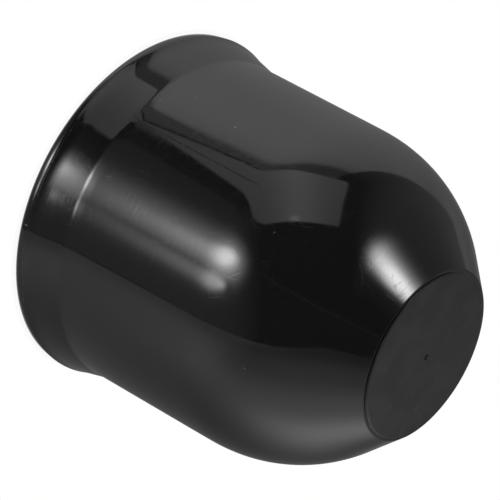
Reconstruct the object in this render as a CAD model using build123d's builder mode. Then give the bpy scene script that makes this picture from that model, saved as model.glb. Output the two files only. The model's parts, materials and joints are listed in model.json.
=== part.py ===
from build123d import *

import os
from math import cos, radians, sin, tan

# Tow ball cover: one plastic moulding, round about Z, that is pushed down over a 50 mm tow ball.
# The origin is the centre of its mouth, and +Z points from the mouth to the flat disc on its closed end.

# Driving dimensions, in millimetres and degrees
ball_radius = 25.0  # the tow ball, and the inside of the dome that caps it
wall = 2.6  # plastic round the ball and under the end disc
ball_height = 33.45  # mouth to the ball's centre
seat_length = 8.0  # straight grip below the ball's widest line
draft = 1.27  # angle at which the skirt widens towards the mouth
crease_height = 8.45  # mouth to the crease where the skirt turns outwards
crease_round = 6.7  # radius in the crease
flare = 1.84  # distance that the rim stands out from the crease
flare_slope = 14.4  # angle between the axis and the straight part of the flare
curl_length = 1.6  # height of the curl that turns the flare out to the parting line
parting_height = 1.9  # mouth to the mould's parting line, the widest part of the rim
lip_step = 0.15  # distance from the parting line in to the lip below it
lip_bevel = 0.5  # broken outer edge of the mouth
mouth_bevel = 0.5  # lead-in on the inner edge of the mouth
end_slope = 45.0  # angle between the axis and the cone above the dome
disc_radius = 13.7  # raised disc on the closed end
disc_step = 0.35  # height of the disc above its ledge
disc_ledge = 0.6  # width of the ledge round the disc
disc_bevel = 0.12  # broken edge of the disc
gate_radius = 0.45  # dimple that the moulding gate leaves in the middle of the disc
gate_depth = 0.3


def on_sphere(radius, latitude):
    """Point of a sphere about the ball's centre, as (distance from the axis, height)."""
    angle = radians(latitude)
    return radius * cos(angle), ball_height + radius * sin(angle)


def on_cone(radius, slope, height):
    """Point, at a height, of the cone with that slope that touches a sphere about the ball's centre."""
    angle = radians(slope)
    return (radius - (height - ball_height) * sin(angle)) / cos(angle), height


def corners(sketch):
    """Corners of the section in levels from the mouth up, each level sorted from the axis outwards."""
    return [level.sort_by(Axis.X) for level in sketch.vertices().group_by(Axis.Y)]


# Outside of the section, from the disc down to the mouth
dome_radius = ball_radius + wall
ledge_radius = disc_radius + disc_ledge
ledge_height = ball_height + (dome_radius - ledge_radius * cos(radians(end_slope))) / sin(radians(end_slope))
disc_height = ledge_height + disc_step
crease = on_cone(dome_radius, draft, crease_height)
rim_radius = crease[0] + flare
lip_radius = rim_radius - lip_step
flare_run = (sin(radians(flare_slope)), -cos(radians(flare_slope)))
curl_height = parting_height + curl_length
curl = (crease[0] + (crease_height - curl_height) * tan(radians(flare_slope)), curl_height)

# Inside of the section, from the mouth up to the roof under the disc
seat_foot = (ball_radius, ball_height - seat_length)
throat = (ball_radius + (seat_foot[1] - crease_height) * tan(radians(draft)), crease_height)
mouth_radius = throat[0] + flare
roof = on_cone(ball_radius, end_slope, disc_height - wall)

gate_bottom = (0, disc_height - gate_depth)

with BuildPart() as ball_cover:
    with BuildSketch(Plane.XZ) as section:
        with BuildLine():
            # Gate dimple, end disc, its ledge and the end cone
            Polyline(
                gate_bottom,
                (gate_radius, disc_height),
                (disc_radius, disc_height),
                (disc_radius, ledge_height),
                (ledge_radius, ledge_height),
                on_sphere(dome_radius, end_slope),
            )
            # Dome and skirt
            CenterArc((0, ball_height), dome_radius, draft, end_slope - draft)
            Line(on_sphere(dome_radius, draft), crease)
            # Flare, its curl, the parting line and the lip
            Line(crease, curl)
            TangentArc(curl, (rim_radius, parting_height), tangent=flare_run)
            Polyline(
                (rim_radius, parting_height),
                (lip_radius, parting_height),
                (lip_radius, 0),
                (mouth_radius, 0),
                (mouth_radius, parting_height),
                throat,
            )
            # Straight ball seat above the throat and the ball's own round
            Polyline(throat, seat_foot, (ball_radius, ball_height))
            CenterArc((0, ball_height), ball_radius, 0, end_slope)
            # Roof
            Polyline(on_sphere(ball_radius, end_slope), roof, (0, roof[1]), gate_bottom)
        make_face()
        fillet(corners(section)[3][-1], crease_round)
        chamfer(corners(section)[0][-1], lip_bevel)
        chamfer(corners(section)[0][0], mouth_bevel)
        chamfer(corners(section)[-1][-1], disc_bevel)
    revolve(axis=Axis.Z)

ball_cover.part.label = "ball_cover"

os.makedirs("parts", exist_ok=True)
export_step(ball_cover.part, "parts/ball_cover.step")

print(f"rim {2 * rim_radius:.2f} across, {disc_height:.2f} high, mouth ring {mouth_radius:.2f} to {lip_radius:.2f}")
print(f"roof {roof[0]:.2f} wide at {roof[1]:.2f}, volume {ball_cover.part.volume:.0f}")
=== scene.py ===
"""Looks of a tow ball cover, laid out as an add-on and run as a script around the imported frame."""

import json
import math

import bmesh
import bpy
from bpy.props import FloatProperty, FloatVectorProperty, IntProperty, PointerProperty
from mathutils import Matrix, Vector, noise


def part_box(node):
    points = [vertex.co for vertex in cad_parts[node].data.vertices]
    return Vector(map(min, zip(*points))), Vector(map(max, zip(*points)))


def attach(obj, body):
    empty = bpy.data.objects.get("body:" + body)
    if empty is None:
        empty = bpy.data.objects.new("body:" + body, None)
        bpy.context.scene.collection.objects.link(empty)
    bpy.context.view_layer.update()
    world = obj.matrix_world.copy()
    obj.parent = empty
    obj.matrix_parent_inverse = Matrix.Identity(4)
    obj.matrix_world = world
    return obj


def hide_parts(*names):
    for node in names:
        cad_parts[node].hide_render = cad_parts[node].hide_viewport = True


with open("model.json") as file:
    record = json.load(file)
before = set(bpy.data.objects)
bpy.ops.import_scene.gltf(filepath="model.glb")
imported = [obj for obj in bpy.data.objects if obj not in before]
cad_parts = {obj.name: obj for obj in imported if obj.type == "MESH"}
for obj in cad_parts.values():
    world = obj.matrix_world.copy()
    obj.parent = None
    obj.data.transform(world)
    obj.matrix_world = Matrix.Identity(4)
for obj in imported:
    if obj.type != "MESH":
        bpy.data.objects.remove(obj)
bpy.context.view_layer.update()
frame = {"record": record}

bl_info = {
    "name": "Tow Ball Cover",
    "version": (1, 0, 0),
    "blender": (4, 5, 0),
    "location": "3D View > Sidebar > Tow Cover",
    "description": "Builds a moulded tow ball cover and the studio set that it is shown in",
    "category": "Add Mesh",
}

NODE = "ball_cover"
MM = 0.001
MICRON = 1e-6
EXACT = 1e-9
PLASTIC_IOR = 1.5

cover_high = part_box(NODE)[1]
seat_radius = frame["record"]["mounts"][0]["dims"]["r_mm"] * MM
plastic_black = frame["record"]["materials"][0]["base_color"]


def length(name, description, default):
    return FloatProperty(
        name=name,
        description=description,
        default=default,
        min=0,
        unit="LENGTH",
        subtype="DISTANCE",
        precision=5,
    )


def angle(name, description, degrees):
    return FloatProperty(name=name, description=description, default=math.radians(degrees), subtype="ANGLE")


def share(name, description, default):
    return FloatProperty(name=name, description=description, default=default, min=0, max=1, subtype="FACTOR")


def colour(name, description, default):
    return FloatVectorProperty(
        name=name, description=description, default=default, size=3, min=0, max=1, subtype="COLOR"
    )


class CoverSizes(bpy.types.PropertyGroup):
    """Sizes of the moulding: those of the part's source, and slight blends that only show in reflections"""

    rim_radius: length("Rim Radius", "Axis to the parting line, the widest part", cover_high.x - 0.01 * MM)
    height: length("Height", "Mouth to the end disc", cover_high.z)
    ball_radius: length("Ball Radius", "The tow ball, and the inside of the dome", seat_radius)
    wall: length("Wall", "Plastic round the ball and under the end disc", 2.6 * MM)
    ball_height: length("Ball Height", "Mouth to the ball's centre", 33.45 * MM)
    seat_length: length("Seat Length", "Straight grip below the ball's widest line", 8 * MM)
    draft: angle("Draft", "Angle at which the skirt widens towards the mouth", 1.27)
    crease_height: length("Crease Height", "Mouth to the crease above the flare", 8.45 * MM)
    crease_turn: length("Crease Turn", "Mouth to the middle of the crease's round", 8.4 * MM)
    crease_length: length("Crease Length", "Height over which the crease turns into the flare", 0.95 * MM)
    crease_ease: angle("Crease Ease", "Slope of the short run that leads from the skirt into the crease", 3.1)
    crease_start: length("Crease Start", "Mouth to the start of that run", 9.75 * MM)
    ease_length: length("Ease Length", "Height over which the skirt turns into that run", 1.5 * MM)
    shoulder: length("Shoulder", "Distance over which the dome's round eases into the straight skirt", 4 * MM)
    flare_slope: angle("Flare Slope", "Angle between the axis and the straight part of the flare", 14.0)
    flare_bow: length("Flare Bow", "Swell in the straight part of the flare", 0.016 * MM)
    curl_length: length("Curl Length", "Height of the curl that ends the flare", 2.6 * MM)
    parting_height: length("Parting Height", "Mouth to the mould's parting line", 1.9 * MM)
    lip_step: length("Lip Step", "Parting line in to the lip below it", 0.15 * MM)
    lip_lean: length("Lip Lean", "Distance that the lip leans in towards the parting line", 0.25 * MM)
    lip_straight: length("Lip Straight", "Mouth to the height at which the lip starts to lean in", 1.0 * MM)
    lip_round: length("Lip Round", "Radius on the outer edge of the mouth", 0.7 * MM)
    mouth_round: length("Mouth Round", "Radius on the inner edge of the mouth", 0.6 * MM)
    end_slope: angle("End Slope", "Angle between the axis and the cone above the dome", 45)
    disc_radius: length("Disc Radius", "Raised disc on the closed end", 13.7 * MM)
    disc_step: length("Disc Step", "Height of the disc above its ledge", 0.35 * MM)
    disc_ledge: length("Disc Ledge", "Width of the ledge round the disc", 0.6 * MM)
    disc_round: length("Disc Round", "Radius on the disc's edge", 0.12 * MM)
    ledge_fillet: length("Ledge Fillet", "Radius between the disc's side and its ledge", 0.06 * MM)
    ledge_round: length("Ledge Round", "Radius on the ledge's outer edge", 0.12 * MM)
    parting_round: length("Parting Round", "Radius on the parting line", 0.03 * MM)
    step_round: length("Step Round", "Radius in the step under the parting line", 0.04 * MM)
    mouth_bend: length("Mouth Bend", "Radius between the lip's inside and the flare's", 2 * MM)
    throat_bend: length("Throat Bend", "Radius between the flare's inside and the throat", 4 * MM)
    roof_round: length("Roof Round", "Radius round the flat roof inside", 0.8 * MM)
    gate_radius: length("Gate Radius", "Bow of the mark that the moulding gate leaves in the disc", 0.4 * MM)
    gate_depth: length("Gate Depth", "Depth of the gate's mark", 0.3 * MM)
    gate_turn: angle("Gate Turn", "Direction of the mark's deep side round the axis", -90)
    flash: length("Flash", "Unevenness of the parting line", 0.02 * MM)
    segments: IntProperty(name="Segments", description="Steps round the axis", default=288, min=48, max=720)


class CoverFinish(bpy.types.PropertyGroup):
    """Colours and surfaces of the moulding"""

    black: colour("Black", "The plastic", plastic_black)
    scuff: colour("Scuff", "Plastic whitened by wear", (0.05, 0.05, 0.05))
    dust: colour("Dust", "Specks of dust", (0.2, 0.2, 0.2))
    polish: share("Polish", "Roughness of the polished outside", 0.03)
    disc_matt: share("Disc Roughness", "Roughness of the matt end disc", 0.42)
    inside_matt: share("Inside Roughness", "Roughness of the moulded inside", 0.22)


class CoverStage(bpy.types.PropertyGroup):
    """Floor, lamps and camera"""

    floor_radius: length("Floor Radius", "Pale round floor that the cover stands on", 30.6 * MM)
    floor_fade: length("Floor Fade", "Width over which the floor's edge fades into the white", 0.5 * MM)
    floor_shadow: share("Floor Shadow", "Share of the floor's white that shadows can take away", 0.06)
    room: share("Room", "Brightness of the dim room in front", 0.09)
    fill: share("Fill", "Brightness of the plain light that matt surfaces get from all round", 0.3)
    lens: FloatProperty(name="Lens", description="Focal length", default=156.48, min=1, unit="CAMERA")


# Distance from a sharp edge to the points that keep a long run beside it flat
EDGE_REACH = 0.1 * MM

# Reach of the gate's mark, and of the fine rings of mesh that carry it, in gate radii
GATE_REACH = 2.3
RINGS_REACH = 2.4

# Small damage on the rim, as azimuth in degrees, height, half width and depth
NICKS = (
    (-66.3, 1.5 * MM, 0.07 * MM, 0.03 * MM),
    (-115.1, 1.8 * MM, 0.11 * MM, 0.04 * MM),
    (48.0, 1.7 * MM, 0.14 * MM, 0.05 * MM),
)

# Specks of dust that stick to the outside, as azimuth in degrees, height and radius
SPECKS = (
    (-128.9, 13.8 * MM, 0.2 * MM),
    (-121.3, 9.9 * MM, 0.17 * MM),
    (-125.7, 23.5 * MM, 0.24 * MM),
    (-101.0, 40.9 * MM, 0.14 * MM),
    (-55.6, 44.4 * MM, 0.17 * MM),
    (35.0, 21.0 * MM, 0.2 * MM),
    (150.0, 38.0 * MM, 0.18 * MM),
)


def arc(centre, radius, start, end, steps):
    """Points of a circular arc in the section, both ends included."""
    turns = [start + (end - start) * i / steps for i in range(steps + 1)]
    return [(centre[0] + radius * math.cos(a), centre[1] + radius * math.sin(a)) for a in turns]


def round_corner(before, corner, after, radius, steps):
    """Points of the arc that rounds one corner of the section."""
    c = Vector(corner)
    u, v = (Vector(before) - c).normalized(), (Vector(after) - c).normalized()
    half = u.angle(v) / 2
    reach = radius / math.tan(half)
    middle = c + (u + v).normalized() * (radius / math.sin(half))
    first, last = c + u * reach - middle, c + v * reach - middle
    turn = first.angle_signed(last)
    return [tuple(middle + Matrix.Rotation(-turn * i / steps, 2) @ first) for i in range(steps + 1)]


def hold_edges(points, reach):
    """Adds points close to the ends of long runs, so that smooth shading stays flat between them."""
    held = [points[0]]
    for p, q in zip(points, points[1:]):
        a, b = Vector(p[:2]), Vector(q[:2])
        run = (b - a).length
        if run > 4 * reach:
            for distance in (reach, run - reach):
                held.append((*a.lerp(b, distance / run), p[2]))
        held.append(q)
    return held


def eased(s, distance):
    """How far the easing draws the surface in at a distance up the dome from the skirt's end."""
    along = min(max(distance / s.shoulder + 0.5, 0), 1)
    if along == 1:
        return s.shoulder**2 / 24 / (s.ball_radius + s.wall)
    return (s.shoulder**2 * along**3 / 6 - max(distance, 0) ** 2 / 2) / (s.ball_radius + s.wall)


def outside_radius(s, height):
    """Radius of the skirt or the dome at a height."""
    dome, up = s.ball_radius + s.wall, height - s.ball_height
    if up < dome * math.sin(s.draft):
        return (dome - up * math.sin(s.draft)) / math.cos(s.draft)
    return math.sqrt(dome * dome - up * up)


def smooth(value, start, end):
    """0 before start and 1 after end, with a soft rise between them."""
    t = min(max((value - start) / (end - start), 0), 1)
    return t * t * (3 - 2 * t)


def flare_run(s, crease_radius):
    """The outside from the skirt's foot to the parting line: crease, flare and curl run into each other."""
    steps, curl_power = 64, 3.5
    top, foot = s.crease_start + s.ease_length / 2, s.parting_height
    ease = math.tan(s.crease_ease) - math.tan(s.draft)
    crease = math.tan(s.flare_slope) - math.tan(s.crease_ease)
    turn, flare_top = s.crease_turn + s.crease_length / 2, s.crease_turn - s.crease_length / 2
    curl_top = foot + s.curl_length
    # The swell is a parabola, of which the slope is steepest at its ends
    swell_foot = foot + s.curl_length * 2 / 3
    swell = 4 * s.flare_bow / (flare_top - swell_foot)
    points = [(crease_radius - (top - s.crease_height) * math.tan(s.draft), top)]
    for i in range(1, steps + 1):
        height = top + (foot - top) * i / steps
        middle = (height + points[-1][1]) / 2
        turned = smooth(-middle, -turn, -flare_top)
        along = min(max((flare_top - middle) / (flare_top - swell_foot), 0), 1)
        slope = math.tan(s.draft) + ease * smooth(-middle, -top, s.ease_length - top)
        slope += crease * turned + swell * turned * (1 - 2 * along)
        points.append((points[-1][0] + slope * (points[-1][1] - height), height))
    lack = s.rim_radius - points[-1][0]
    return [(x + lack * min(max((curl_top - z) / s.curl_length, 0), 1) ** curl_power, z) for x, z in points]


def cover_section(s):
    """The section from the disc's middle down the outside and up the inside, as (radius, height, zone)."""
    dome = s.ball_radius + s.wall
    centre = (0.0, s.ball_height)
    ledge_radius = s.disc_radius + s.disc_ledge
    ledge_height = s.height - s.disc_step
    slope = s.end_slope
    crease_radius = (dome - (s.crease_height - s.ball_height) * math.sin(s.draft)) / math.cos(s.draft)
    lip_radius = s.rim_radius - s.lip_step
    seat_foot = (s.ball_radius, s.ball_height - s.seat_length)
    throat = (s.ball_radius + (seat_foot[1] - s.crease_height) * math.tan(s.draft), s.crease_height)
    mouth_radius = throat[0] + s.rim_radius - crease_radius
    mouth_top = (mouth_radius, s.parting_height)
    roof_height = s.height - s.wall
    roof = ((s.ball_radius - (roof_height - s.ball_height) * math.sin(slope)) / math.cos(slope), roof_height)
    gate_rings, dome_rows, shoulder_rows, lip_rows, ball_rows = 18, 72, 6, 10, 20

    section = []

    def run(zone, points):
        section.extend((x, max(z, 0.0), zone) for x, z in points)

    def corner(zone, before, point, after, radius, steps=5):
        run(zone, round_corner(before, point, after, radius, steps))

    run("disc", [(RINGS_REACH * s.gate_radius * i / gate_rings, s.height) for i in range(gate_rings + 1)])
    disc_edge, disc_foot = (s.disc_radius, s.height), (s.disc_radius, ledge_height)
    ledge_edge = (ledge_radius, ledge_height)
    cone_foot = arc(centre, dome, slope, slope, 1)[0]
    corner("disc", (0, s.height), disc_edge, disc_foot, s.disc_round)
    corner("body", disc_edge, disc_foot, ledge_edge, s.ledge_fillet, 3)
    corner("body", disc_foot, ledge_edge, cone_foot, s.ledge_round, 4)
    for i in range(dome_rows + 1):
        latitude = slope + (s.draft - slope) * i / dome_rows
        drawn = eased(s, dome * (latitude - s.draft))
        run("body", arc(centre, dome - drawn, latitude, latitude, 1)[:1])
    skirt_way = Vector((math.sin(s.draft), -math.cos(s.draft)))
    for i in range(1, shoulder_rows + 1):
        distance = s.shoulder / 2 * i / shoulder_rows
        start = Vector(arc(centre, dome - eased(s, -distance), s.draft, s.draft, 1)[0])
        run("body", [tuple(start + skirt_way * distance)])
    flare_points = flare_run(s, crease_radius)
    run("body", flare_points[:-1])
    rim = flare_points[-1]
    step_foot = (lip_radius - s.lip_lean, s.parting_height)
    corner("body", flare_points[-2], rim, step_foot, s.parting_round, 3)
    corner("body", rim, step_foot, (lip_radius, 0), s.step_round, 3)
    for i in range(1, lip_rows):
        t = 1 - i / lip_rows
        lean = s.lip_lean * t * t
        run("body", [(lip_radius - lean, s.lip_straight + (s.parting_height - s.lip_straight) * t)])
    corner("body", (lip_radius, s.parting_height), (lip_radius, 0), (mouth_radius, 0), s.lip_round, 8)
    corner("inside", (lip_radius, 0), (mouth_radius, 0), mouth_top, s.mouth_round, 6)
    corner("inside", (mouth_radius, 0), mouth_top, throat, s.mouth_bend, 4)
    corner("inside", mouth_top, throat, seat_foot, s.throat_bend, 4)
    run("inside", [seat_foot, (s.ball_radius, s.ball_height)])
    run("inside", arc(centre, s.ball_radius, 0, slope, ball_rows)[1:])
    corner("inside", arc(centre, s.ball_radius, slope, slope, 1)[0], roof, (0, roof_height), s.roof_round, 4)
    run("inside", [(0, roof_height)])
    return hold_edges(section, EDGE_REACH)


def column_angles(segments):
    """Azimuths of the mesh's columns: even steps, and closer ones at each nick."""
    angles = [math.tau * i / segments for i in range(segments)]
    reach = 4
    for azimuth, _, half_width, _ in NICKS:
        step = half_width / cover_high.x / 2
        angles += [(math.radians(azimuth) + step * i) % math.tau for i in range(-reach, reach + 1)]
    return sorted(angles)


def gate_dip(x, y, s):
    """How deep the gate's mark is at a place on the disc: dents that shrink along both arms of a bow."""
    dip, dents, arm = 0.0, 8, math.radians(125)
    offset = Vector((0.1 * MM, 0.22 * MM))
    for i in range(-dents, dents + 1):
        t = i / dents
        turn = s.gate_turn + arm * t
        middle = Vector((math.cos(turn), math.sin(turn))) * s.gate_radius + offset
        radius, depth = s.gate_radius * (0.7 - 0.4 * abs(t)), s.gate_depth * (1 - 0.6 * abs(t))
        inward = 1 - (Vector((x, y)) - middle).length / radius
        dip = max(dip, depth * min(1, 2.5 * max(0, inward)))
    return dip


def worn(radius, height, azimuth, s):
    """A point of the turned shape, moved by the gate's mark, the uneven parting line or a nick in the rim."""
    x, y = radius * math.cos(azimuth), radius * math.sin(azimuth)
    if height > s.height - EXACT and radius < GATE_REACH * s.gate_radius:
        return x, y, height - gate_dip(x, y, s)
    inset, waves = 0.0, 120
    if radius > s.rim_radius - s.lip_step * 0.9:
        inset = s.flash * abs(noise.noise((x * waves, y * waves, 0.0)))
    if radius > s.rim_radius - 2 * s.lip_step and height < s.parting_height + s.lip_step:
        for middle, level, half_width, depth in NICKS:
            away = (azimuth - math.radians(middle) + math.pi) % math.tau - math.pi
            across = min(1, abs(away) * radius / half_width)
            along = min(1, abs(height - level) / (0.4 * s.parting_height))
            inset += depth * (1 - across * across) * (1 - along * along)
    scale = 1 - inset / radius if inset else 1.0
    return x * scale, y * scale, height


def lathe(name, section, zones, s):
    """Turns the section round Z into one closed mesh, with a material index for each zone."""
    angles = column_angles(s.segments)
    count = len(angles)
    vertices, rings = [], []
    for radius, height, _ in section:
        if radius < EXACT:
            rings.append([len(vertices)] * count)
            vertices.append(worn(0.0, height, 0.0, s))
            continue
        rings.append(list(range(len(vertices), len(vertices) + count)))
        vertices += [worn(radius, height, a, s) for a in angles]
    faces, slots = [], []
    for upper, lower, (*_, zone) in zip(rings, rings[1:], section):
        for i in range(count):
            j = (i + 1) % count
            loop = [upper[i], lower[i], lower[j], upper[j]]
            faces.append([v for k, v in enumerate(loop) if v != loop[k - 1]])
            slots.append(zones.index(zone))
    mesh = bpy.data.meshes.new(name)
    mesh.from_pydata(vertices, [], faces)
    mesh.polygons.foreach_set("material_index", slots)
    mesh.polygons.foreach_set("use_smooth", [True] * len(faces))
    mesh.validate()
    return mesh


class Nodes:
    """Short calls for building one node tree. Scales of patterns are in features per metre."""

    def __init__(self, tree):
        self.tree = tree
        tree.nodes.clear()

    def new(self, kind, values=None, **settings):
        node = self.tree.nodes.new(kind)
        for key, value in settings.items():
            setattr(node, key, value)
        for key, value in (values or {}).items():
            self.put(node.inputs[key], value)
        return node

    def put(self, socket, value):
        if isinstance(value, bpy.types.NodeSocket):
            self.tree.links.new(value, socket)
        else:
            socket.default_value = value

    def math(self, operation, *values):
        return self.new("ShaderNodeMath", dict(enumerate(values)), operation=operation).outputs[0]

    def total(self, first, *others):
        for other in others:
            first = self.math("ADD", first, other)
        return first

    def product(self, first, *others):
        for other in others:
            first = self.math("MULTIPLY", first, other)
        return first

    def ramp(self, value, low, high, to_low=0.0, to_high=1.0, kind="SMOOTHSTEP"):
        node = self.new("ShaderNodeMapRange", interpolation_type=kind)
        for socket, given in zip(node.inputs, (value, low, high, to_low, to_high)):
            self.put(socket, given)
        return node.outputs[0]

    def between(self, factor, low, high):
        return self.ramp(factor, 0, 1, low, high, "LINEAR")

    def blend(self, factor, first, second):
        node = self.new("ShaderNodeMix", data_type="RGBA")
        for socket, given in zip((node.inputs[0], node.inputs[6], node.inputs[7]), (factor, first, second)):
            self.put(socket, given)
        return node.outputs[2]

    def place(self):
        """Object coordinates, as one vector and as x, y and z."""
        at = self.new("ShaderNodeTexCoord").outputs["Object"]
        return at, self.new("ShaderNodeSeparateXYZ", {0: at}).outputs

    def stretch(self, vector, x, y, z):
        return self.new("ShaderNodeVectorMath", {0: vector, 1: (x, y, z)}, operation="MULTIPLY").outputs[0]

    def noise(self, vector, scale=1.0, detail=3.0):
        node = self.new("ShaderNodeTexNoise", {"Vector": vector, "Scale": scale, "Detail": detail})
        return node.outputs[0]

    def hypot(self, u, v):
        return self.math("SQRT", self.total(self.product(u, u), self.product(v, v)))

    def spot(self, u, v, centre, radius):
        """1 at the centre, fading to 0 at the radius."""
        away = self.hypot(self.math("SUBTRACT", u, centre[0]), self.math("SUBTRACT", v, centre[1]))
        return self.ramp(away, radius, 0)

    def near(self, vector, point, radius):
        """1 close to a point, fading to 0 at the radius."""
        between = self.new("ShaderNodeVectorMath", {0: vector, 1: point}, operation="DISTANCE")
        return self.ramp(between.outputs["Value"], radius, 0.4 * radius)

    def specks(self, vector, scale, size, rarity):
        """Small round specks in a few cells of a random pattern; size is their share of a cell."""
        cells = self.new("ShaderNodeTexVoronoi", {"Vector": vector, "Scale": scale})
        draw = self.new("ShaderNodeSeparateColor", {0: cells.outputs["Color"]}).outputs[0]
        chosen = self.math("GREATER_THAN", draw, rarity)
        return self.product(chosen, self.ramp(cells.outputs["Distance"], size, 0.6 * size))

    def scratches(self, vector, scale, width, gate):
        """Fine lines along the edges of a random pattern, kept where a second pattern is above the gate."""
        warp = {"Vector": vector, "Scale": 0.7 * scale, "Detail": 2.0}
        bend = 0.25 / scale
        bent = self.stretch(self.new("ShaderNodeTexNoise", warp).outputs[1], bend, bend, bend)
        moved = self.new("ShaderNodeVectorMath", {0: vector, 1: bent}, operation="ADD").outputs[0]
        edges = {"Vector": moved, "Scale": scale}
        lines = self.new("ShaderNodeTexVoronoi", edges, feature="DISTANCE_TO_EDGE").outputs[0]
        kept = self.ramp(self.noise(vector, 1.7 * scale, 2.0), gate, gate + 0.05)
        return self.product(kept, self.ramp(lines, width, 0.3 * width))

    def finish(self, colour, roughness, height):
        """Ends a material with one plastic shader; height is in metres."""
        bump = self.new("ShaderNodeBump", {"Height": height, "Distance": 1.0, "Strength": 1.0})
        shader = self.new(
            "ShaderNodeBsdfPrincipled",
            {"Base Color": colour, "Roughness": roughness, "IOR": PLASTIC_IOR, "Normal": bump.outputs[0]},
        )
        self.output(shader.outputs[0])

    def output(self, shader, kind="ShaderNodeOutputMaterial"):
        self.put(self.new(kind).inputs["Surface"], shader)


def material(name):
    made = bpy.data.materials.new(name)
    made.use_nodes = True
    return made, Nodes(made.node_tree)


def polished_black(finish, sizes):
    """Polished moulding with ripple, smears, hairlines round the axis, scratches, dust and worn edges."""
    made, n = material("polished_black")
    at, (x, y, z) = n.place()
    radius = n.hypot(x, y)
    smear = n.ramp(n.noise(at, 110, 5), 0.5, 0.8)
    handled = n.ramp(n.noise(at, 190, 3), 0.42, 0.62)
    hairs = n.product(n.ramp(n.noise(n.stretch(at, 90, 90, 4200), 1, 3), 0.58, 0.7), handled)
    wide, fine = n.scratches(at, 300, 0.016, 0.51), n.scratches(n.stretch(at, 1, 1.3, -0.8), 560, 0.024, 0.52)
    swirls = n.math("MAXIMUM", wide, fine)
    scratch = n.math("MAXIMUM", n.scratches(at, 160, 0.012, 0.63), n.product(swirls, 0.5))
    dust = n.specks(at, 330, 0.045, 0.975)
    for azimuth, height, size in SPECKS:
        turn, reach = math.radians(azimuth), outside_radius(sizes, height)
        middle = (reach * math.cos(turn), reach * math.sin(turn), height)
        dust = n.math("MAXIMUM", dust, n.near(at, middle, size))
    grit = n.ramp(n.noise(at, 1500, 4), 0.5, 0.62)
    parting = n.ramp(n.math("ABSOLUTE", n.math("SUBTRACT", z, sizes.parting_height)), 0.16 * MM, 0)
    rim = n.product(parting, n.ramp(radius, sizes.rim_radius - 0.2 * MM, sizes.rim_radius))
    foot = n.ramp(z, 0.35 * MM, 0)
    disc_edge = n.product(
        n.ramp(n.math("ABSOLUTE", n.math("SUBTRACT", radius, sizes.disc_radius)), 0.18 * MM, 0.02 * MM),
        n.ramp(z, sizes.height - 0.2 * MM, sizes.height),
    )
    wear = n.product(n.math("MAXIMUM", n.math("MAXIMUM", rim, foot), n.product(disc_edge, 0.4)), grit)
    shade = n.blend(n.product(wear, 0.8), (*finish.black, 1), (*finish.scuff, 1))
    shade = n.blend(n.product(scratch, 0.2), shade, (*finish.scuff, 1))
    shade = n.blend(n.product(dust, 0.4), shade, (*finish.dust, 1))
    rough = n.total(
        n.between(smear, finish.polish, finish.polish + 0.08),
        n.product(hairs, 0.08),
        n.product(scratch, 0.16),
        n.product(wear, 0.3),
        n.product(dust, 0.5),
    )
    height = n.total(
        n.product(n.noise(at, 240, 1), 3 * MICRON),
        n.product(n.noise(at, 3800, 2), 1.0 * MICRON),
        n.product(hairs, -1.8 * MICRON),
        n.product(scratch, -2.6 * MICRON),
        n.product(wear, n.noise(at, 6000, 2), 6 * MICRON),
        n.product(dust, 8 * MICRON),
    )
    n.finish(shade, rough, height)
    return made


def matt_disc(finish, sizes):
    """Matt end disc: fine spark-eroded grain over the turning rings of the mould's insert."""
    made, n = material("matt_disc")
    at, (x, y, z) = n.place()
    radius = n.hypot(x, y)
    rings = n.noise(n.new("ShaderNodeCombineXYZ", {0: n.product(radius, 2600)}).outputs[0], 1, 3)
    grain = n.noise(at, 9000, 3)
    cloud = n.noise(at, 260, 4)
    rub = n.ramp(n.noise(at, 700, 4), 0.6, 0.72)
    dust = n.specks(at, 500, 0.08, 0.95)
    mottle = n.total(n.product(n.ramp(cloud, 0.35, 0.7), 0.34), n.product(rub, 0.3), n.product(rings, 0.2))
    shade = n.blend(mottle, (*finish.black, 1), (*finish.scuff, 1))
    shade = n.blend(n.product(dust, 0.5), shade, (*finish.dust, 1))
    gate = n.ramp(radius, GATE_REACH * sizes.gate_radius, 2 * sizes.gate_radius)
    dip = n.product(gate, n.ramp(z, sizes.height - 0.02 * MM, sizes.height - 0.08 * MM))
    matt = n.total(
        n.between(cloud, finish.disc_matt - 0.08, finish.disc_matt + 0.08),
        n.between(rings, -0.06, 0.06),
        n.product(dust, 0.3),
    )
    rough = n.between(dip, matt, 0.12)
    height = n.total(
        n.product(grain, 4 * MICRON),
        n.product(rings, 3 * MICRON),
        n.product(cloud, 3 * MICRON),
        n.product(dust, 6 * MICRON),
    )
    n.finish(shade, rough, height)
    return made


def moulded_inside(finish, sizes):
    """Inside of the cap: satin core finish with draw lines towards the mouth and a little grit."""
    made, n = material("moulded_inside")
    at = n.place()[0]
    drawn = n.noise(n.stretch(at, 1800, 1800, 60), 1, 3)
    cloud = n.noise(at, 160, 4)
    scratch = n.scratches(at, 140, 0.014, 0.6)
    dust = n.specks(at, 420, 0.07, 0.9)
    shade = n.blend(n.product(n.ramp(cloud, 0.5, 0.8), 0.2), (*finish.black, 1), (*finish.scuff, 1))
    shade = n.blend(n.product(dust, 0.5), shade, (*finish.dust, 1))
    rough = n.total(
        n.between(cloud, finish.inside_matt - 0.05, finish.inside_matt + 0.08),
        n.between(drawn, -0.05, 0.05),
        n.product(scratch, 0.12),
        n.product(dust, 0.3),
    )
    height = n.total(
        n.product(drawn, 2.5 * MICRON),
        n.product(cloud, 6 * MICRON),
        n.product(scratch, -2 * MICRON),
        n.product(dust, 8 * MICRON),
    )
    n.finish(shade, rough, height)
    return made


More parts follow.
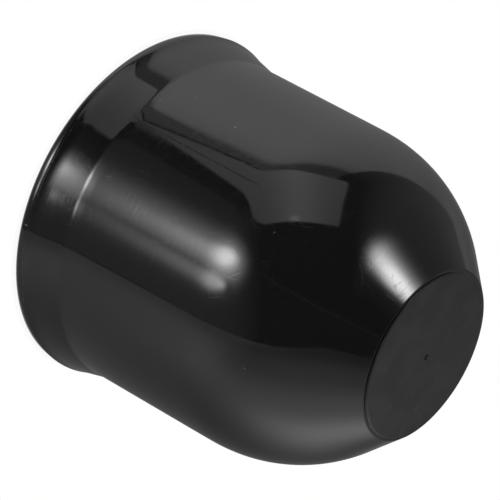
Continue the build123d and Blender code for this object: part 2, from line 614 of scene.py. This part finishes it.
# The photographed cap lies on its side on a table, and the set stands round the upright cap as it stood
# round that one. These are the table's right, away and up directions in the cap's own frame, and the point
# that they start from.
SET_RIGHT = Vector((-0.4835, 0.4765, 0.7343))
SET_AWAY = Vector((-0.4411, 0.5919, -0.6746))
SET_UP = Vector((-0.7561, -0.6501, -0.0760))
SET_CENTRE = Vector((0, 0, 30 * MM))
RIGHT, AWAY, UP = range(3)

# The round room behind the cards, and the direction square to a pale beam across it, in the set's frame
ROOM_RADIUS = 1.5
BEAM_WAY = (0.478, 0.341, 0.81)

# The camera's place and its directions, from the fit of the cap's outline
CAMERA_PLACE = Vector((0, -0.289397, 0.210405))
CAMERA_AHEAD = Vector((-0.0036972, 0.83761889, -0.54624255))
CAMERA_RIGHT = Vector((-0.48320914, 0.47674389, 0.73431886))
CAMERA_UP = Vector((-0.87549715, -0.26666431, -0.40298249))


def in_set(made):
    """Places an object of the stage in the set's frame and hides it from the camera."""
    turn = Matrix((SET_RIGHT, SET_AWAY, SET_UP)).transposed().to_4x4()
    bpy.context.scene.collection.objects.link(made)
    made.matrix_world = Matrix.Translation(SET_CENTRE) @ turn
    made.visible_camera = False


def card(name, corners, light):
    """A glowing card with its corners in the set's frame, clear from behind.

    light(n, x, y, z) gives how bright a place on it is, where 1 is the white of the background, and how
    much of what stands behind it that place hides.
    """
    mesh = bpy.data.meshes.new(name)
    mesh.from_pydata(corners, [], [(0, 1, 2, 3)])
    made, n = material(name + "_glow")
    level, hides = light(n, *n.place()[1])
    front = n.math("SUBTRACT", 1.0, n.new("ShaderNodeNewGeometry").outputs["Backfacing"])
    veil = n.math("SUBTRACT", 1.0, n.product(hides, front))
    clear = n.new("ShaderNodeBsdfTransparent", {"Color": veil})
    glow = n.new("ShaderNodeEmission", {"Strength": n.product(level, front)})
    n.output(n.new("ShaderNodeAddShader", {0: clear.outputs[0], 1: glow.outputs[0]}).outputs[0])
    mesh.materials.append(made)
    in_set(bpy.data.objects.new(name, mesh))


def oval(n, u, v, centre, half_u, half_v, tilt, crisp):
    """1 in the middle of a tilted oval, fading out round its half sizes; crisp sets how hard its edge is."""
    u, v = n.math("SUBTRACT", u, centre[0]), n.math("SUBTRACT", v, centre[1])
    c, s = math.cos(math.radians(tilt)), math.sin(math.radians(tilt))
    along = n.total(n.product(u, c / half_u), n.product(v, s / half_u))
    across = n.total(n.product(v, c / half_v), n.product(u, -s / half_v))
    reach = n.total(n.product(along, along), n.product(across, across))
    return n.math("EXPONENT", n.product(n.math("POWER", reach, crisp / 2), -1.0))


def table_light(n, x, y, z):
    """A table top: brighter to the left and where light gathers beside the cap, dark where it is shaded."""
    level = n.ramp(x, 60 * MM, -220 * MM, 0.225, 0.5)
    level = n.total(
        level,
        n.product(oval(n, x, y, (12.5 * MM, -27 * MM), 23 * MM, 8.4 * MM, 20, 2), 4.1),
        n.product(oval(n, x, y, (-13 * MM, -37.5 * MM), 56 * MM, 28 * MM, 19, 2), 1.6),
        n.product(oval(n, x, y, (-59 * MM, -81.5 * MM), 115 * MM, 60 * MM, 0, 2), 0.46),
    )
    contact = oval(n, x, y, (21 * MM, -18.7 * MM), 53.6 * MM, 17.4 * MM, 1, 2)
    shade = oval(n, x, y, (11 * MM, 59 * MM), 44 * MM, 200 * MM, -23, 2)
    level = n.product(level, n.between(contact, 1, 0.09), n.between(shade, 1, 0.14))
    back = n.ramp(y, 60 * MM, 25 * MM)
    top = n.product(n.ramp(x, -374 * MM, -330 * MM), n.ramp(y, -294 * MM, -266 * MM))
    edge = n.product(n.ramp(x, -410 * MM, -385 * MM), n.ramp(y, -325 * MM, -305 * MM))
    return n.product(n.ramp(top, 0, 1, 0.15, level, "LINEAR"), edge, back), n.product(edge, back)


def wall_light(n, x, y, z):
    """A wall behind: dim at the table, brightest half way up and to the left, dark again above its top."""
    edge = n.math("SUBTRACT", x, n.ramp(z, -10 * MM, -45 * MM, 0, 28 * MM))
    shown = n.product(n.ramp(edge, 331 * MM, 313 * MM), n.ramp(z, 1250 * MM, 1000 * MM))
    tilt = n.product(n.ramp(z, 50 * MM, 350 * MM), n.ramp(x, -300 * MM, 340 * MM, 0.3, -0.3, "LINEAR"))
    foot = n.product(
        n.ramp(x, 150 * MM, 340 * MM), n.ramp(z, 60 * MM, -40 * MM), n.ramp(z, -150 * MM, -60 * MM)
    )
    top = n.total(z, n.ramp(x, -222 * MM, -242 * MM, 0, 28 * MM))
    level = n.product(
        n.ramp(z, -124 * MM, 448 * MM, 0.16, 1.12),
        n.ramp(z, 470 * MM, 600 * MM, 1, 0.93),
        n.ramp(top, 590 * MM, 715 * MM, 1, 0.34),
        n.ramp(x, -700 * MM, -350 * MM, 0.6, 1),
        n.total(tilt, 1.0),
    )
    return n.product(n.total(level, n.product(foot, 0.14)), shown), shown


def top_light(n, x, y, z):
    """A panel overhead: a little askew, brightest along its middle, with a round corner and a dark seam."""
    into_left = n.total(x, 127 * MM)
    into_right = n.math("SUBTRACT", n.ramp(y, -40 * MM, 55 * MM, 96 * MM, 105 * MM), x)
    into_front = n.math("SUBTRACT", y, n.ramp(x, -60 * MM, 90 * MM, -84 * MM, -93 * MM))
    into_back = n.math("SUBTRACT", n.ramp(x, -45 * MM, 60 * MM, 77 * MM, 53.5 * MM), y)
    corner_radius, soft = 48 * MM, 6 * MM
    corner = n.hypot(
        n.math("MINIMUM", n.math("SUBTRACT", into_left, corner_radius), 0),
        n.math("MINIMUM", n.math("SUBTRACT", into_front, corner_radius), 0),
    )
    sides = n.product(
        n.ramp(into_left, -2.5 * MM, 2.5 * MM),
        n.ramp(into_right, -4 * MM, 4 * MM),
        n.ramp(into_front, -4 * MM, 4 * MM),
        n.ramp(corner, corner_radius + soft, corner_radius - soft),
    )
    lit = n.product(sides, n.ramp(into_back, -3 * MM, 3 * MM))
    back_edge = n.ramp(x, -60 * MM, -80 * MM, 0, 4 * MM)
    shown = n.product(sides, n.ramp(n.total(into_back, back_edge), -3 * MM, 3 * MM))
    seam = n.math("ABSOLUTE", n.total(n.product(x, 0.896), y, 40.2 * MM))
    seam = n.product(n.ramp(seam, 2.2 * MM, 0.8 * MM), n.ramp(x, -86 * MM, -94 * MM))
    middle = n.product(oval(n, x, y, (-8 * MM, 0), 55 * MM, 10, 0, 2), 0.49)
    spot = n.product(n.spot(x, y, (-18 * MM, -78 * MM), 18 * MM), 0.9)
    return n.product(n.total(middle, spot, 0.69), lit, n.between(seam, 1, 0.2)), shown


def left_lamp_light(n, x, y, z):
    """A soft window on the left, with two darker gaps below it."""
    window = oval(n, y, z, (-325.6 * MM, 509.8 * MM), 170.4 * MM, 88.8 * MM, -38.9, 3.2)
    halo = oval(n, y, z, (-368.4 * MM, 501.9 * MM), 172 * MM, 232.5 * MM, -129, 2)
    gap = oval(n, y, z, (-185 * MM, 281 * MM), 60 * MM, 28 * MM, -14, 2)
    far_gap = oval(n, y, z, (-530 * MM, 318 * MM), 75 * MM, 55 * MM, 0, 2)
    level = n.total(n.product(window, 7.7), n.product(halo, 6.7))
    return n.product(level, n.between(gap, 1, 0.6), n.between(far_gap, 1, 0.6)), 0.0


def low_lamp_light(n, x, y, z):
    """A lower strip of light, farther off on the left."""
    strip = oval(n, y, z, (-495.6 * MM, 375.7 * MM), 190.4 * MM, 95.2 * MM, -19.8, 2.6)
    end = oval(n, y, z, (-640 * MM, 428 * MM), 80 * MM, 55 * MM, -19.8, 2)
    level = n.total(n.product(strip, 4.7), n.product(end, 2.4))
    return n.product(level, n.ramp(y, -800 * MM, -700 * MM)), 0.0


def right_lamp_light(n, x, y, z):
    """A small lamp close by on the right."""
    bulb = oval(n, y, z, (-82.7 * MM, 92.2 * MM), 22.5 * MM, 7.3 * MM, -12, 3)
    halo = oval(n, y, z, (-74 * MM, 97 * MM), 29 * MM, 21 * MM, -46.5, 2)
    return n.total(n.product(bulb, 10.0), n.product(halo, 10.0)), 0.0


def rectangle(axis, distance, low, high, facing):
    """Corners of a card square to one axis of the set, wound to face along that axis or against it."""
    a, b = [(AWAY, UP), (UP, RIGHT), (RIGHT, AWAY)][axis]
    corners = []
    for u, v in ((low[0], low[1]), (high[0], low[1]), (high[0], high[1]), (low[0], high[1])):
        point = [0.0, 0.0, 0.0]
        point[axis], point[a], point[b] = distance, u, v
        corners.append(tuple(point))
    return corners if facing > 0 else corners[::-1]


# Cards of the set: name, axis that each is square to, distance along it, low and high corner, facing, light
CARDS = (
    ("table_card", UP, -28.2 * MM, (-0.42, -0.33), (0.6, 0.06), 1, table_light),
    ("back_wall", AWAY, 308 * MM, (-0.25, -0.9), (1.26, 0.37), -1, wall_light),
    ("top_panel", UP, 239 * MM, (-0.145, -0.1), (0.11, 0.09), -1, top_light),
    ("left_lamp", RIGHT, -668 * MM, (-1.1, -0.2), (0.3, 1.15), 1, left_lamp_light),
    ("low_lamp", RIGHT, -1.0, (-1.0, 0.05), (0.0, 0.7), 1, low_lamp_light),
    ("right_lamp", RIGHT, 120 * MM, (-0.17, 0.0), (0.0, 0.19), -1, right_lamp_light),
)


class TOWCOVER_OT_cover(bpy.types.Operator):
    """Builds the cap and gives it its finishes"""

    bl_idname = "towcover.cover"
    bl_label = "Ball Cover"

    def execute(self, context):
        sizes, finish = context.scene.cover_sizes, context.scene.cover_finish
        finishes = {"body": polished_black, "disc": matt_disc, "inside": moulded_inside}
        mesh = lathe("cover_shell", cover_section(sizes), list(finishes), sizes)
        for make in finishes.values():
            mesh.materials.append(make(finish, sizes))
        cover = bpy.data.objects.new("cover_shell", mesh)
        context.scene.collection.objects.link(cover)
        if len(cover.data.polygons) < 1000:
            raise RuntimeError("the cap's section didn't turn into a mesh")
        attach(cover, "root")
        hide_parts(NODE)
        return {"FINISHED"}


class TOWCOVER_OT_stage(bpy.types.Operator):
    """Sets up the floor, the lamps, the room and the camera"""

    bl_idname = "towcover.stage"
    bl_label = "Stage"

    def execute(self, context):
        stage = context.scene.cover_stage
        self.add_floor(context, stage)
        self.add_world(context, stage)
        self.add_room(stage)
        self.add_lamps()
        self.add_camera(context, stage)
        context.scene.view_settings.view_transform = "Standard"
        return {"FINISHED"}

    def seen(self, n):
        """1 for the rays that show the background: from the camera, mirrored or seen through glass."""
        path = n.new("ShaderNodeLightPath").outputs
        mirrored = n.math("MAXIMUM", path["Is Glossy Ray"], path["Is Transmission Ray"])
        return n.math("MAXIMUM", path["Is Camera Ray"], mirrored)

    def add_floor(self, context, stage):
        count = 128
        turns = [math.tau * i / count for i in range(count)]
        mesh = bpy.data.meshes.new("floor")
        ring = [(stage.floor_radius * math.cos(a), stage.floor_radius * math.sin(a), 0) for a in turns]
        mesh.from_pydata(ring, [], [list(range(count))])
        floor = bpy.data.objects.new("floor", mesh)
        context.scene.collection.objects.link(floor)
        made, n = material("pale_floor")
        white = n.new("ShaderNodeEmission", {"Strength": 1.0})
        paint = n.new("ShaderNodeBsdfDiffuse", {"Color": (0.9, 0.9, 0.9, 1)})
        kept = n.product(self.seen(n), 1 - stage.floor_shadow)
        top = n.new("ShaderNodeMixShader", {0: kept, 1: paint.outputs[0], 2: white.outputs[0]})
        clear = n.new("ShaderNodeBsdfTransparent")
        below = n.new("ShaderNodeNewGeometry").outputs["Backfacing"]
        x, y = n.place()[1][:2]
        faded = n.ramp(n.hypot(x, y), stage.floor_radius - stage.floor_fade, stage.floor_radius)
        gone = n.math("MAXIMUM", below, faded)
        n.output(n.new("ShaderNodeMixShader", {0: gone, 1: top.outputs[0], 2: clear.outputs[0]}).outputs[0])
        mesh.materials.append(made)

    def add_world(self, context, stage):
        world = bpy.data.worlds.new("studio")
        context.scene.world = world
        world.use_nodes = True
        n = Nodes(world.node_tree)
        strength = n.between(self.seen(n), stage.fill, 1.0)
        light = n.new("ShaderNodeBackground", {"Color": (1, 1, 1, 1), "Strength": strength})
        n.output(light.outputs[0], "ShaderNodeOutputWorld")

    def add_room(self, stage):
        mesh = bpy.data.meshes.new("room")
        shell = bmesh.new()
        bmesh.ops.create_uvsphere(shell, u_segments=48, v_segments=24, radius=ROOM_RADIUS)
        shell.to_mesh(mesh)
        shell.free()
        made, n = material("dim_room")
        x, y, z = n.place()[1]
        right = n.product(n.ramp(x, 0.5, 1.2), n.ramp(y, 1.4, 0.9), 0.262)
        eave = n.product(n.ramp(n.total(x, n.product(z, 0.7)), -0.02, 0.02), n.ramp(y, -0.15, 0.05))
        left = n.product(n.ramp(x, -0.3, -1.2, 0, 0.24), n.between(eave, 1.1, 0.64))
        behind = n.ramp(y, 0.15, 1.05, 0, 0.24)
        tilted = [n.product(place, part / ROOM_RADIUS) for place, part in zip((x, y, z), BEAM_WAY)]
        height = n.total(*tilted)
        beam = n.product(n.ramp(n.math("ABSOLUTE", n.math("SUBTRACT", height, 0.02)), 0.022, 0.004), 0.05)
        front = n.total(n.ramp(height, 0, 0.06, stage.room, 0.9 * stage.room), beam)
        level = n.math("MAXIMUM", n.math("MAXIMUM", front, behind), n.math("MAXIMUM", left, right))
        n.output(n.new("ShaderNodeEmission", {"Strength": level}).outputs[0])
        mesh.materials.append(made)
        in_set(bpy.data.objects.new("room", mesh))

    def add_lamps(self):
        for name, axis, distance, low, high, facing, light in CARDS:
            card(name, rectangle(axis, distance, low, high, facing), light)

    def add_camera(self, context, stage):
        data = bpy.data.cameras.new("camera")
        data.lens = stage.lens
        data.sensor_width = 36
        data.clip_start, data.clip_end = 0.01, 20
        camera = bpy.data.objects.new("camera", data)
        context.scene.collection.objects.link(camera)
        turn = Matrix((CAMERA_RIGHT, CAMERA_UP, -CAMERA_AHEAD)).transposed().to_4x4()
        camera.matrix_world = Matrix.Translation(CAMERA_PLACE) @ turn
        context.scene.camera = camera


class TOWCOVER_PT_panel(bpy.types.Panel):
    """Lists the sizes, finishes and builders of the ball cover"""

    bl_idname = "TOWCOVER_PT_panel"
    bl_label = "Tow Ball Cover"
    bl_space_type = "VIEW_3D"
    bl_region_type = "UI"
    bl_category = "Tow Cover"

    def draw(self, context):
        layout = self.layout
        for group in (context.scene.cover_sizes, context.scene.cover_finish, context.scene.cover_stage):
            column = layout.column(align=True)
            for name in group.bl_rna.properties.keys():
                if name not in ("rna_type", "name"):
                    column.prop(group, name)
        layout.operator(TOWCOVER_OT_cover.bl_idname)
        layout.operator(TOWCOVER_OT_stage.bl_idname)


CLASSES = (CoverSizes, CoverFinish, CoverStage, TOWCOVER_OT_cover, TOWCOVER_OT_stage, TOWCOVER_PT_panel)
GROUPS = {"cover_sizes": CoverSizes, "cover_finish": CoverFinish, "cover_stage": CoverStage}


def register():
    for each in CLASSES:
        bpy.utils.register_class(each)
    for name, group in GROUPS.items():
        setattr(bpy.types.Scene, name, PointerProperty(type=group))


def unregister():
    for name in GROUPS:
        delattr(bpy.types.Scene, name)
    for each in reversed(CLASSES):
        bpy.utils.unregister_class(each)


def main():
    register()
    bpy.ops.towcover.cover()
    bpy.ops.towcover.stage()


if __name__ == "__main__":
    main()
